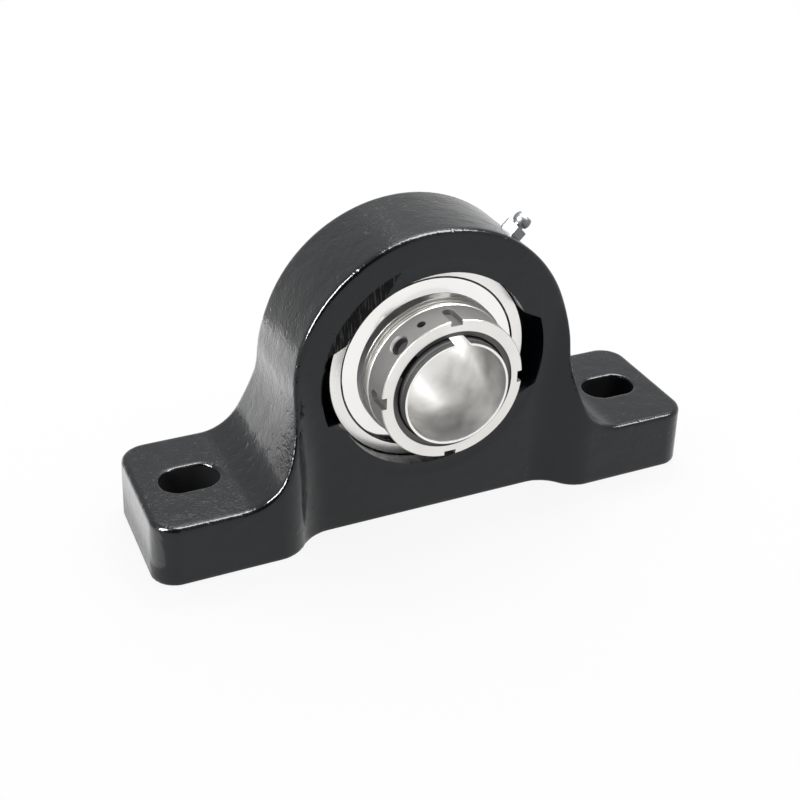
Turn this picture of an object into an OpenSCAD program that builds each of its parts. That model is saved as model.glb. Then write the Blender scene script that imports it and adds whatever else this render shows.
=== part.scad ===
// Two-bolt pillow block with a self-aligning ball bearing insert and an adapter sleeve lock.
// The origin is on the base, below the middle of the seat. X is along the base, and the
// shaft lies along Y with the lock nut towards -Y.

/* [Housing body] */
// Height of the shaft above the base
shaft_h = 57.15; // [54:0.05:66]
// Length of the base at its underside
base_l = 210; // [204:1:236]
// Width of the feet
base_w = 55; // [50:1:62]
// Thickness of the feet
foot_t = 23.2; // [19:0.1:27]
// Depth of the body between the feet
body_w = 35.6; // [33:0.1:41]
// Wall between the spherical seat and the top of the arch
arch_wall = 14; // [11:0.1:17]
// Radius of the hollow flanks between the arch and the feet
flank_r = 55; // [48:1:70]
// Fillet between a flank and its foot
foot_fillet = 17; // [13:0.5:19]
// Height at which the thick feet start to run out into the flanks
runout_start = 25; // [20:1:30]
// Radius along which the thick feet run out
runout_r = 144; // [110:1:200]
// How far the thick feet start beyond the arch
foot_start = 8.4; // [5:0.1:11]
// Hollow radius where the body widens into a foot, seen from above
widen_hollow_r = 15; // [12:0.5:18]
// Round radius where the body widens into a foot, seen from above
widen_round_r = 13; // [10:0.5:16]
// Corner radius of the feet, seen from above
corner_r = 9.4; // [5:0.1:14]
// Draft of the two ends of the base
end_draft = 2.7; // [0:0.1:4]

/* [Bolt slots] */
// Distance from the middle of a bolt slot to the end of the base
bolt_inset = 20.3; // [18:0.1:24]
// Length of a bolt slot
bolt_slot_l = 20.9; // [17:0.1:22]
// Width of a bolt slot
bolt_slot_w = 14.3; // [11:0.1:16]

/* [Seat in the housing] */
// Play between the outer ring and its spherical seat
seat_play = 0.05; // [0.02:0.01:0.1]
// How much smaller the round opening is than the seat
seat_lip = 1.4; // [1:0.1:2]
// Width of the shallow recess round the opening
recess_w = 5.1; // [3:0.1:6]
// Depth of the shallow recess round the opening
recess_depth = 0.3; // [0.2:0.1:1]
// How far the loading slots reach beyond the seat
load_slot_out = 3.6; // [2:0.1:5]
// Height of a loading slot at the opening
load_slot_h = 31.2; // [28:0.1:34]
// Slant of the upper and lower walls of a loading slot
load_slot_slant = 25; // [10:1:35]
// How far a loading slot reaches past the middle of the seat
load_slot_past = 1; // [0.5:0.1:3]
// Width of the grease groove round the seat
grease_groove_w = 6; // [4:0.1:7]
// Depth of the grease groove below the seat
grease_groove_depth = 1.2; // [0.8:0.1:2]
// Distance of the grease groove behind the middle of the seat
grease_groove_back = 4.7; // [4.2:0.1:5]

/* [Bearing] */
// Shaft diameter
shaft_d = 36.5; // [34:0.1:39]
// Diameter of a ball
ball_d = 11.1; // [10:0.1:11.8]
// Number of balls
ball_count = 9; // [7:1:10]
// Play between the balls and the raceways
ball_play = 0.02; // [0.01:0.01:0.04]
// Raceway radius as a share of the ball diameter
raceway_share = 0.52; // [0.515:0.005:0.53]
// Height of the shoulders beside the raceways
shoulder_h = 2; // [1.7:0.1:2.2]
// Wall of the inner ring under its raceway
inner_wall = 3.85; // [3.4:0.05:4.5]
// Wall of the outer ring over its raceway
outer_wall = 3; // [2.6:0.1:3.6]
// Width of the outer ring
outer_ring_w = 22.4; // [22:0.1:24]
// How far the inner ring reaches in front of the middle
inner_ring_front = 19.3; // [18.8:0.1:20.5]
// How far the inner ring reaches behind the middle
inner_ring_back = 16.5; // [15:0.1:18.5]
// Diameter of the grease holes through the outer ring
ring_hole_d = 2; // [1.4:0.1:2.4]
// Distance of the grease holes behind the middle of the outer ring
ring_hole_back = 6.3; // [6:0.1:6.6]

/* [Cage and seals] */
// Sheet thickness of the cage
cage_t = 0.9; // [0.6:0.1:1]
// Width of the cage across the balls
cage_w = 3.6; // [3:0.1:4]
// Play between a ball and its pocket
pocket_play = 0.15; // [0.1:0.05:0.25]
// Diameter of the cage rivets
rivet_d = 1.6; // [1.2:0.1:1.8]
// Sheet thickness of the seal retainers
retainer_t = 0.7; // [0.5:0.05:0.8]
// Distance of the seal retainers from the middle
retainer_f = 8.05; // [7.9:0.05:8.2]
// Width of the groove that holds a seal retainer
seal_groove_w = 1.1; // [0.9:0.05:1.3]
// Play between a seal lip and the inner ring
lip_play = 0.05; // [0.03:0.01:0.1]
// Width of a seal lip across
lip_w = 2.6; // [2:0.1:3]
// Sheet thickness of the flingers
flinger_t = 0.9; // [0.7:0.05:1]
// How far a flinger lies in from the face of the outer ring
flinger_in = 0.2; // [0:0.05:0.4]
// Length of the hub of a flinger
flinger_hub_l = 4.8; // [4:0.1:5.4]
// Cove radius between the disc of a flinger and its hub
flinger_cove = 1.5; // [1:0.1:2]
// Gap round a flinger
flinger_gap = 0.65; // [0.4:0.05:0.8]

/* [Adapter sleeve] */
// Wall of the sleeve at its front rim
rim_wall = 1.05; // [0.9:0.05:1.2]
// Wall of the sleeve at its thread
thread_wall = 1.35; // [1.3:0.05:1.6]
// How far the sleeve stands out of the nut
sleeve_out = 3.15; // [2.5:0.05:4]
// How far the sleeve stands out behind the inner ring
sleeve_back = 2.5; // [1.8:0.1:4]
// Diameter lost by the taper over a length of one
taper = 0.0833; // [0.07:0.0001:0.09]
// Play between the sleeve and the taper of the inner ring
taper_play = 0.02; // [0.01:0.01:0.05]
// Width of the slit along the sleeve
slit_w = 5.9; // [3:0.1:7]
// Angle of the slit from the top towards +X
slit_angle = 3; // [-10:1:10]

/* [Lock nut] */
// Outer diameter of the nut
nut_d = 52.66; // [52.2:0.02:54]
// Length of the nut
nut_l = 11.55; // [11:0.05:13]
// Gap between the nut and the inner ring
nut_gap = 0.2; // [0.1:0.05:0.4]
// Play of the sleeve's thread in the nut
thread_play = 0.12; // [0.05:0.01:0.2]
// Depth of the counterbore in the front of the nut
nut_front_depth = 2.65; // [2.3:0.05:3]
// Width of the front face of the nut
nut_face_w = 4.18; // [3.4:0.02:4.6]
// Length of the spigot that carries the nut
spigot_l = 3.1; // [2.8:0.05:3.3]
// Wall of the spigot
spigot_wall = 4.1; // [3.7:0.05:4.2]
// Play of the nut on its spigot
spigot_play = 0.15; // [0.1:0.01:0.2]
// Width of the four spanner notches
notch_w = 4.3; // [3:0.1:5]
// Depth of the four spanner notches
notch_depth = 1.9; // [1.2:0.1:2]
// Length of the four spanner notches
notch_l = 8.6; // [7:0.1:8.8]
// Diameter of the two pin spanner holes
pin_hole_d = 6.2; // [5:0.1:6.6]
// Depth of the two pin spanner holes
pin_hole_depth = 3.2; // [2:0.1:3.4]
// Countersink of the two pin spanner holes
pin_hole_rim = 0.9; // [0.4:0.1:1.2]
// Angle of the first pin spanner hole from the top towards +X
pin_hole_angle = -45; // [-50:1:-40]
// Distance of the pin spanner holes from the front of the nut
pin_hole_in = 4.75; // [4.5:0.05:5]

/* [Split rings and lock screw] */
// Thickness of the keeper ring
keeper_t = 1; // [0.8:0.05:1.1]
// Width of the keeper ring
keeper_w = 1.7; // [1.4:0.05:1.9]
// Thickness of the retaining ring in the front of the nut
snap_t = 1.3; // [1:0.05:1.4]
// How far the retaining ring stands in from the counterbore
snap_w = 1.9; // [1.4:0.05:2]
// Depth of the grooves that hold the split rings
ring_groove_depth = 0.4; // [0.3:0.05:0.5]
// Angle of the opening in the retaining ring
snap_gap = 25; // [10:1:30]
// Where that opening is, from the top towards +X
snap_gap_angle = -54; // [-60:1:-50]
// Diameter of the lock screw
lock_screw_d = 3; // [2.5:0.1:3.2]
// Angle of the lock screw from the top towards +X
lock_screw_angle = -23; // [-24:1:-20]
// How far the lock screw lies below the surface of the nut
lock_screw_deep = 1.2; // [0.6:0.05:1.6]
// Thickness of the soft pad below the lock screw
pad_t = 0.7; // [0.5:0.05:0.9]

/* [Grease fitting] */
// Angle of the fitting from the top towards +X
fitting_angle = 45; // [35:1:50]
// Distance of the fitting behind the middle of the seat
fitting_back = 3.2; // [2.4:0.1:4]
// Depth of the flat cut for the fitting
spot_depth = 0.4; // [0.35:0.05:0.8]
// Diameter of the flat cut for the fitting
spot_d = 12.6; // [11:0.1:13]
// Width of the hexagon across its flats
hex_af = 8; // [7.5:0.1:9]
// Height of the hexagon
hex_h = 3.9; // [3:0.1:5]
// Diameter of the fitting's shank
shank_d = 6.2; // [5.6:0.1:6.6]
// Length of the fitting's shank
shank_l = 7; // [5:0.1:8]
// Diameter of the fitting's ball-shaped head
head_d = 6.5; // [6:0.1:7]
// Height of the head above the hexagon
head_h = 4.6; // [4.2:0.1:5.4]
// Diameter of the neck between hexagon and head
neck_d = 4.4; // [4:0.1:4.8]
// Diameter of the bore in the fitting
fitting_bore_d = 2.4; // [2.2:0.1:2.6]
// Diameter of the check ball
check_ball_d = 1.9; // [1.8:0.05:2]
// Diameter of the mouth above the check ball
mouth_d = 1.4; // [1.2:0.05:1.5]
// Diameter of the spring wire
spring_wire_d = 0.32; // [0.25:0.01:0.4]
// Number of turns of the spring
spring_turns = 8; // [5:1:10]

/* [Hidden] */
$fn = 96;

// A little more, so that a cut passes the face that it opens
over = 1;
// Running gap between a pressed or split ring and its groove
groove_play = 0.05;
// Small chamfer of turned edges
edge_c = 0.3;
// Depth of the grooves in the outer ring that hold the seal retainers
seal_groove_depth = 0.8;
// How far the mouth of the outer ring lies inside its land
mouth_step = 0.55;
// How far the rubber bulges beyond the retainer, and where its lip lies, in retainer thicknesses
lip_bulge = 0.6;
lip_tip = [0.5, 0.9];
// Fine grooves in the collar of the inner ring, measured back from its front
collar_grooves = [1.2, 2.6];
// How far the sleeve's thread runs out of the nut
thread_past = 0.52;
// Rivet head radius in rivet diameters
rivet_head = 0.85;
// Width of the set screw's socket in screw diameters
socket_share = 0.58;
// Grease passage below the fitting
passage_d = 2.9;
// Chamfer of the fitting's hexagon
hex_c = 0.48;
// Length of the neck between the hexagon and the head
neck_l = 0.92;
// Height of the flat top of the head over the middle of its ball shape
head_cut = 1.95;
// Length of the mouth above the check ball
mouth_l = 0.67;
// Play round the spring in the fitting
coil_play = 0.15;

// Radii from the shaft outwards
bore_r = shaft_d / 2;
rim_r = bore_r + rim_wall;
thread_r = bore_r + thread_wall;
nut_bore_r = thread_r + thread_play;
spigot_f = inner_ring_front + spigot_l;
taper_front_r = thread_r + taper_play * 3;
function taper_r(f) = taper_front_r + (spigot_f - f) * taper / 2;
spigot_r = taper_front_r + spigot_wall;
inner_race_r = taper_r(0) + inner_wall;
pitch_r = inner_race_r + ball_play + ball_d / 2;
outer_race_r = pitch_r + ball_d / 2 + ball_play;
race_r = raceway_share * ball_d;
inner_land_r = inner_race_r + shoulder_h;
outer_land_r = outer_race_r - shoulder_h;
outer_r = outer_race_r + outer_wall;
seat_r = outer_r + seat_play;
opening_r = seat_r - seat_lip;
recess_r = opening_r + recess_w;
arch_r = seat_r + arch_wall;

// Outline of the housing, seen from the front
flank_c = [arch_r + flank_r, shaft_h];
fillet_drop = shaft_h - foot_t - foot_fillet;
fillet_c = [
    flank_c[0] - sqrt(pow(flank_r - foot_fillet, 2) - pow(fillet_drop, 2)),
    foot_t + foot_fillet
];
flank_dir = (fillet_c - flank_c) / norm(fillet_c - flank_c);
flank_end = flank_c + flank_dir * (flank_r + over);
base_half = base_l / 2 + over;
bolt_spacing = base_l - bolt_inset * 2;

// Outline of the housing, seen from above
widen = (base_w - body_w) / 2;
widen_angle = acos(1 - widen / (widen_hollow_r + widen_round_r));
widen_end = arch_r + foot_start;
widen_mid = widen_end - widen_round_r * sin(widen_angle);
widen_start = widen_mid - widen_hollow_r * sin(widen_angle);
widen_mid_y = body_w / 2 + widen_hollow_r * (1 - cos(widen_angle));
runout_x = widen_mid + runout_r;
runout_angle = 32;

// Places along the shaft, measured forwards from the middle of the seat
face_f = outer_ring_w / 2;
flinger_f = face_f - flinger_in;
outer_mouth_r = outer_land_r - mouth_step;
flinger_r = outer_mouth_r - flinger_gap;
flinger_hub_r = inner_land_r + flinger_t;
retainer_r = outer_land_r + seal_groove_depth;
retainer_in_r = inner_land_r + lip_w - retainer_t;
nut_f = inner_ring_front + nut_gap;
nut_front_f = nut_f + nut_l;
nut_r = nut_d / 2;
nut_back_depth = spigot_l + groove_play - nut_gap / 2;
nut_face_r = nut_r - nut_face_w;
sleeve_front_f = nut_front_f + sleeve_out;
sleeve_thread_f = nut_front_f + thread_past;
sleeve_back_f = -inner_ring_back - sleeve_back;
thread_mid_f = (nut_f + nut_back_depth + nut_front_f - nut_front_depth) / 2;
keeper_f = nut_f + nut_back_depth / 2;
keeper_r = spigot_r - keeper_w / 2 + spigot_play / 2;
snap_f = nut_front_f - nut_front_depth + snap_t;
lock_tip_r = nut_bore_r + groove_play + pad_t + groove_play;

// Heights along the grease fitting, measured from the shaft axis
spot_s = arch_r - spot_depth;
hex_top_s = spot_s + hex_h;
head_top_s = hex_top_s + head_h;
head_mid_s = head_top_s - head_cut;
shank_s = spot_s - shank_l;
mouth_s = head_top_s - mouth_l;
check_seat_drop = sqrt(pow(check_ball_d / 2, 2) - pow(mouth_d / 2, 2));
check_ball_s = mouth_s - check_seat_drop - groove_play;
spring_foot_s = shank_s + over;
spring_top_s = check_ball_s - check_ball_d / 2;

// Turns children about the shaft, with their z axis pointing forwards
module on_shaft() {
    translate([0, 0, shaft_h]) rotate([90, 0, 0]) children();
}

// Stands children on a radius of the shaft, at an angle from the top towards +X
module on_radius(angle, f) {
    translate([0, -f, shaft_h]) rotate([0, angle, 0]) children();
}

// A flat ring: inner and outer radius, back and front face
module ring(r_in, r_out, back, front) {
    on_shaft() translate([0, 0, back]) linear_extrude(front - back) difference() {
        circle(r_out);
        circle(r_in);
    }
}

// The part of a ring that is missing where it is split
module ring_opening(r, angle, width, f) {
    on_radius(angle, f) rotate([90, 0, 0]) translate([0, 0, -over * 2]) linear_extrude(over * 4)
        polygon([[0, 0], [r * tan(width / 2), r], [-r * tan(width / 2), r]]);
}

// Empty space beside the body and above a foot, seen from the front
module beside_body_2d() {
    translate(fillet_c) circle(foot_fillet);
    intersection() {
        translate(flank_c) circle(flank_r);
        polygon([flank_end, [arch_r - over, shaft_h], [flank_c[0], shaft_h + over],
            [flank_c[0] + over, shaft_h]]);
    }
    polygon([fillet_c, flank_c, [flank_c[0] + base_half, shaft_h + over],
        [flank_c[0] + base_half, foot_t], [fillet_c[0], foot_t]]);
}

// Front outline: arch, hollow flanks, fillets and feet
module front_2d() {
    translate([0, shaft_h]) circle(arch_r);
    difference() {
        translate([-base_half, 0]) square([base_half * 2, shaft_h]);
        beside_body_2d();
        mirror([1, 0]) beside_body_2d();
    }
}

// One thick foot seen from above, from where the body starts to widen out to reach
module foot_2d(reach) {
    difference() {
        union() {
            for (side = [-1, 1]) {
                polygon([
                    [widen_start, 0],
                    [widen_start, side * body_w / 2],
                    [widen_mid, side * widen_mid_y],
                    [widen_end, side * base_w / 2],
                    [reach, side * base_w / 2],
                    [reach, 0]
                ]);
                translate([widen_end, side * (base_w / 2 - widen_round_r)])
                    circle(widen_round_r);
            }
        }
        for (side = [-1, 1])
            translate([widen_start, side * (body_w / 2 + widen_hollow_r)]) circle(widen_hollow_r);
    }
}

// One thick foot, which runs out into the flank as it rises
module foot_space() {
    linear_extrude(runout_start) foot_2d(runout_x);
    translate([runout_x, 0, runout_start]) rotate([90, 0, 0])
        rotate_extrude(angle = runout_angle, start = 180 - runout_angle)
            translate([runout_x, 0]) mirror([1, 0]) foot_2d(runout_x);
}

// All that lies on the near side of one drafted, round-cornered end
module end_space() {
    translate([base_l / 2, 0, 0]) rotate([0, -end_draft, 0])
        translate([-base_l / 2, 0, -base_w]) linear_extrude(shaft_h * 3 + base_w) {
            translate([-base_l, -base_w / 2]) square([base_l * 1.5 - corner_r, base_w]);
            translate([-base_l, -base_w / 2 + corner_r])
                square([base_l * 1.5, base_w - corner_r * 2]);
            for (side = [-1, 1])
                translate([base_l / 2 - corner_r, side * (base_w / 2 - corner_r)])
                    circle(corner_r);
        }
}

// Extrudes the front outline to a depth, centred on the seat
module front_slab(depth) {
    translate([0, depth / 2, 0]) rotate([90, 0, 0]) linear_extrude(depth) front_2d();
}

module bolt_slot() {
    straight = bolt_slot_l - bolt_slot_w;
    translate([0, 0, -over]) {
        for (side = [-1, 1]) translate([side * straight / 2, 0, 0])
            cylinder(d = bolt_slot_w, h = foot_t + foot_fillet);
        translate([-straight / 2, -bolt_slot_w / 2, 0])
            cube([straight, bolt_slot_w, foot_t + foot_fillet]);
    }
}

// Two slots that let the outer ring in edgeways, before it is turned into its seat
module loading_slots() {
    slant = tan(load_slot_slant);
    inner_h = load_slot_h / 2 + slant * opening_r / 2;
    outer_h = load_slot_h / 2 - slant * (seat_r + load_slot_out - opening_r + over);
    on_shaft() translate([0, 0, -load_slot_past])
        linear_extrude(base_w) intersection() {
            circle(seat_r + load_slot_out);
            for (side = [-1, 1]) polygon([
                [side * opening_r / 2, inner_h],
                [side * (seat_r + load_slot_out + over), outer_h],
                [side * (seat_r + load_slot_out + over), -outer_h],
                [side * opening_r / 2, -inner_h]
            ]);
        }
}

module seat_space() {
    translate([0, 0, shaft_h]) sphere(seat_r);
    on_shaft() cylinder(r = opening_r, h = base_w * 2, center = true);
    for (side = [-1, 1]) on_shaft() translate([0, 0, side * body_w / 2])
        cylinder(r = recess_r, h = recess_depth * 2, center = true);
    loading_slots();
    ring(opening_r / 2, seat_r + grease_groove_depth, -grease_groove_back - grease_groove_w / 2,
        -grease_groove_back + grease_groove_w / 2);
}

// Threaded hole, grease passage and spot face for the fitting
module fitting_hole() {
    on_radius(fitting_angle, -fitting_back) {
        translate([0, 0, spot_s]) cylinder(d = spot_d, h = arch_wall);
        translate([0, 0, shank_s - over / 2])
            cylinder(r = shank_d / 2 + groove_play, h = arch_wall);
        translate([0, 0, opening_r / 2]) cylinder(d = passage_d, h = arch_r - opening_r);
    }
}

module housing() {
    color("#2b2d2f") difference() {
        intersection() {
            union() {
                front_slab(body_w);
                for (side = [0, 1]) mirror([side, 0, 0]) intersection() {
                    front_slab(base_w);
                    foot_space();
                }
            }
            end_space();
            mirror([1, 0, 0]) end_space();
        }
        seat_space();
        fitting_hole();
        for (side = [-1, 1]) translate([side * bolt_spacing / 2, 0, 0]) bolt_slot();
    }
}

// Spherical outside, deep groove raceway, a groove for each seal, three grease holes
module outer_ring() {
    groove_w = seal_groove_w + groove_play;
    color("#d9d7d2") difference() {
        on_shaft() rotate_extrude() difference() {
            intersection() {
                circle(outer_r);
                translate([outer_mouth_r, -face_f]) square([outer_r, outer_ring_w]);
            }
            translate([0, -retainer_f]) square([outer_land_r, retainer_f * 2]);
            for (side = [-1, 1]) translate([0, side * (retainer_f + groove_w / 2 - groove_play)
                - groove_w / 2]) square([retainer_r + groove_play, groove_w]);
            translate([outer_race_r - race_r, 0]) circle(race_r);
        }
        for (i = [0:2]) on_radius(120 * i, -ring_hole_back) cylinder(d = ring_hole_d, h = outer_r * 2);
    }
}

// Raceway on the outside, taper in the bore, and a spigot that carries the lock nut
module inner_ring() {
    color("#c9c7c2") on_shaft() rotate_extrude() difference() {
        polygon([
            [taper_r(-inner_ring_back), -inner_ring_back],
            [inner_land_r - edge_c, -inner_ring_back],
            [inner_land_r, -inner_ring_back + edge_c],
            [inner_land_r, inner_ring_front - edge_c],
            [inner_land_r - edge_c, inner_ring_front],
            [spigot_r, inner_ring_front],
            [spigot_r, spigot_f - edge_c],
            [spigot_r - edge_c, spigot_f],
            [taper_r(spigot_f), spigot_f]
        ]);
        translate([inner_race_r + race_r, 0]) circle(race_r);
        for (f = collar_grooves) translate([inner_land_r - edge_c, inner_ring_front - f - edge_c])
            square([over, edge_c * 2]);
        translate([keeper_r - groove_play, keeper_f - keeper_t / 2 - groove_play])
            square([keeper_w, keeper_t + groove_play * 2]);
    }
}

module bearing_balls() {
    color("#e8e8e8") for (i = [0:ball_count - 1])
        on_radius((i + 0.5) * 360 / ball_count, 0) translate([0, 0, pitch_r]) sphere(d = ball_d);
}

// One pressed half: a flat ring with a round pocket for each ball
module cage_half(side) {
    pocket_r = ball_d / 2 + pocket_play;
    step = 360 / ball_count;
    on_shaft() mirror([0, 0, side < 0 ? 1 : 0]) difference() {
        intersection() {
            union() {
                translate([0, 0, -cage_t]) cylinder(r = pitch_r + cage_w, h = cage_t * 2);
                for (i = [0:ball_count - 1]) rotate([0, 0, -(i + 0.5) * step])
                    translate([0, pitch_r, 0]) sphere(pocket_r + cage_t);
            }
            linear_extrude(face_f) difference() {
                circle(pitch_r + cage_w / 2);
                circle(pitch_r - cage_w / 2);
            }
        }
        for (i = [0:ball_count - 1]) {
            rotate([0, 0, -(i + 0.5) * step]) translate([0, pitch_r, 0]) sphere(pocket_r);
            rotate([0, 0, -i * step]) translate([0, pitch_r, -over])
                cylinder(d = rivet_d, h = face_f);
        }
    }
}

module cage_front_half() {
    color("#b9a06a") cage_half(1);
}

module cage_rear_half() {
    color("#b9a06a") cage_half(-1);
}

// Round-headed rivets that clamp the two halves together between the balls
module cage_rivets() {
    color("#9a8454") for (i = [0:ball_count - 1]) on_radius(i * 360 / ball_count, 0)
        translate([0, 0, pitch_r]) rotate([90, 0, 0]) rotate_extrude() polygon([
            [0, -cage_t - rivet_d / 2],
            [rivet_d / 2, -cage_t - rivet_d / 2],
            [rivet_d * rivet_head, -cage_t - rivet_d / 4],
            [rivet_d * rivet_head, -cage_t],
            [rivet_d / 2 - groove_play / 2, -cage_t],
            [rivet_d / 2 - groove_play / 2, cage_t],
            [rivet_d * rivet_head, cage_t],
            [rivet_d * rivet_head, cage_t + rivet_d / 4],
            [rivet_d / 2, cage_t + rivet_d / 2],
            [0, cage_t + rivet_d / 2]
        ]);
}

// Pressed ring that sits in the groove of the outer ring and carries the lip
module seal_retainer(side) {
    near = side * retainer_f;
    far = side * (retainer_f + retainer_t);
    rim = side * (retainer_f + seal_groove_w - groove_play * 2);
    ring(retainer_in_r, retainer_r, min(near, far), max(near, far));
    ring(retainer_r - retainer_t, retainer_r, min(near, rim), max(near, rim));
}

module front_seal_retainer() {
    color("#8f8f8c") seal_retainer(1);
}

module rear_seal_retainer() {
    color("#8f8f8c") seal_retainer(-1);
}

// Rubber ring that grips the retainer and rubs on the inner ring
module seal_lip(side) {
    color("#1d1d1f") on_shaft() mirror([0, 0, side < 0 ? 1 : 0]) rotate_extrude() polygon([
        [inner_land_r + lip_play, retainer_f + retainer_t * lip_tip[0]],
        [inner_land_r + lip_w / 3, retainer_f - retainer_t * lip_bulge],
        [inner_land_r + lip_w, retainer_f - retainer_t * lip_bulge],
        [inner_land_r + lip_w, retainer_f],
        [retainer_in_r, retainer_f],
        [retainer_in_r, retainer_f + retainer_t],
        [inner_land_r + lip_w, retainer_f + retainer_t],
        [inner_land_r + lip_w, retainer_f + retainer_t * (1 + lip_bulge)],
        [inner_land_r + lip_w / 3, retainer_f + retainer_t * (1 + lip_bulge)],
        [inner_land_r + lip_play, retainer_f + retainer_t * lip_tip[1]]
    ]);
}

module front_seal_lip() {
    seal_lip(1);
}

module rear_seal_lip() {
    seal_lip(-1);
}

// Bright pressed disc on the inner ring that throws water away from the seal
module flinger(side) {
    color("#efeeea") on_shaft() mirror([0, 0, side < 0 ? 1 : 0]) rotate_extrude() difference() {
        union() {
            translate([inner_land_r, flinger_f - flinger_t])
                square([flinger_r - inner_land_r, flinger_t]);
            translate([inner_land_r, flinger_f - flinger_t])
                square([flinger_t, flinger_t + flinger_hub_l]);
            translate([flinger_hub_r, flinger_f]) square(flinger_cove);
        }
        translate([flinger_hub_r + flinger_cove, flinger_f + flinger_cove]) circle(flinger_cove);
    }
}

module front_flinger() {
    flinger(1);
}

module rear_flinger() {
    flinger(-1);
}

// Slit sleeve: taper on the outside, thread under the nut, round bore for the shaft
module adapter_sleeve() {
    color("#c4c2bd") difference() {
        on_shaft() rotate_extrude() polygon([
            [bore_r + edge_c, sleeve_back_f],
            [taper_r(sleeve_back_f) - taper_play - edge_c, sleeve_back_f],
            [taper_r(sleeve_back_f) - taper_play, sleeve_back_f + edge_c],
            [taper_r(spigot_f) - taper_play, spigot_f],
            [thread_r, spigot_f + edge_c],
            [thread_r, sleeve_thread_f],
            [rim_r, sleeve_thread_f + edge_c],
            [rim_r, sleeve_front_f],
            [bore_r + edge_c / 2, sleeve_front_f],
            [bore_r, sleeve_front_f - edge_c / 2],
            [bore_r, sleeve_back_f + edge_c]
        ]);
        on_radius(slit_angle, 0) translate([-slit_w / 2, -base_w, 0])
            cube([slit_w, base_w * 2, outer_r]);
    }
}

// One spanner notch with a round inner end, standing on the radius
module nut_notch() {
    translate([0, 0, nut_r - notch_depth]) {
        translate([0, notch_l - notch_w / 2, 0]) cylinder(d = notch_w, h = notch_depth + over);
        translate([-notch_w / 2, -over, 0])
            cube([notch_w, notch_l - notch_w / 2 + over, notch_depth + over]);
    }
}

// Round nut: counterbores for spigot and retaining ring, notches, pin holes, lock screw hole
module adapter_nut() {
    color("#cfcdc8") difference() {
        on_shaft() rotate_extrude() polygon([
            [nut_bore_r, nut_f + nut_back_depth],
            [spigot_r + spigot_play, nut_f + nut_back_depth],
            [spigot_r + spigot_play, nut_f],
            [nut_r - edge_c, nut_f],
            [nut_r, nut_f + edge_c],
            [nut_r, nut_front_f - edge_c],
            [nut_r - edge_c, nut_front_f],
            [nut_face_r, nut_front_f],
            [nut_face_r, nut_front_f - nut_front_depth],
            [nut_bore_r, nut_front_f - nut_front_depth]
        ]);
        ring(spigot_r, keeper_r + keeper_w + groove_play, keeper_f - keeper_t / 2 - groove_play,
            keeper_f + keeper_t / 2 + groove_play);
        ring(nut_face_r - over, nut_face_r + ring_groove_depth, snap_f - snap_t / 2 - groove_play,
            snap_f + snap_t / 2 + groove_play);
        for (i = [0:3]) on_radius(90 * i, nut_front_f) nut_notch();
        for (i = [0:1]) on_radius(pin_hole_angle + 180 * i, nut_front_f - pin_hole_in) {
            translate([0, 0, nut_r - pin_hole_depth]) cylinder(d = pin_hole_d, h = nut_r);
            translate([0, 0, nut_r - pin_hole_rim]) cylinder(d1 = pin_hole_d,
                d2 = pin_hole_d + pin_hole_rim * 4, h = pin_hole_rim * 2);
        }
        on_radius(lock_screw_angle, thread_mid_f)
            cylinder(r = lock_screw_d / 2 + groove_play, h = nut_r * 2);
    }
}

// Split ring, half in the nut and half in the spigot, which makes the nut a puller
module nut_keeper_ring() {
    color("#a9a7a2") difference() {
        ring(keeper_r, keeper_r + keeper_w, keeper_f - keeper_t / 2, keeper_f + keeper_t / 2);
        ring_opening(nut_r, 90, snap_gap / 2, keeper_f);
    }
}

// Split ring in the front counterbore of the nut
module nut_retaining_ring() {
    color("#8d8c89") difference() {
        ring(nut_face_r - snap_w, nut_face_r + ring_groove_depth - groove_play,
            snap_f - snap_t / 2, snap_f + snap_t / 2);
        ring_opening(nut_r, snap_gap_angle, snap_gap, snap_f);
    }
}

// Socket set screw that locks the nut on the sleeve
module lock_screw() {
    color("#55565a") on_radius(lock_screw_angle, thread_mid_f) difference() {
        rotate_extrude() polygon([
            [0, lock_tip_r],
            [lock_screw_d / 4, lock_tip_r],
            [lock_screw_d / 2, lock_tip_r + lock_screw_d / 4],
            [lock_screw_d / 2, nut_r - lock_screw_deep],
            [0, nut_r - lock_screw_deep]
        ]);
        translate([0, 0, nut_r - lock_screw_deep - lock_screw_d / 2])
            cylinder(d = lock_screw_d * socket_share, h = lock_screw_d, $fn = 6);
    }
}

// Soft pad that keeps the screw off the thread
module lock_pad() {
    color("#b58b45") on_radius(lock_screw_angle, thread_mid_f)
        translate([0, 0, nut_bore_r + groove_play])
            cylinder(r = lock_screw_d / 2, h = pad_t);
}

// Straight fitting: shank, hexagon, neck and ball-shaped head, bored right through
module grease_fitting() {
    color("#d8d8d6") on_radius(fitting_angle, -fitting_back) difference() {
        union() {
            translate([0, 0, shank_s]) cylinder(d = shank_d, h = shank_l);
            intersection() {
                translate([0, 0, spot_s]) cylinder(d = hex_af / cos(30), h = hex_h, $fn = 6);
                translate([0, 0, spot_s]) rotate_extrude() polygon([
                    [0, 0],
                    [hex_af / 2, 0],
                    [hex_af / 2 + hex_c * 2, hex_c],
                    [hex_af / 2 + hex_c * 2, hex_h - hex_c],
                    [hex_af / 2, hex_h],
                    [0, hex_h]
                ]);
            }
            translate([0, 0, hex_top_s - over]) cylinder(d = neck_d, h = head_h / 2 + over);
            intersection() {
                translate([0, 0, head_mid_s]) sphere(d = head_d);
                translate([0, 0, hex_top_s + neck_l])
                    cylinder(d = head_d * 2, h = head_h - neck_l);
            }
        }
        translate([0, 0, shank_s - over]) cylinder(d = mouth_d, h = arch_r);
        translate([0, 0, spring_foot_s])
            cylinder(d = fitting_bore_d, h = mouth_s - spring_foot_s);
    }
}

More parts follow.
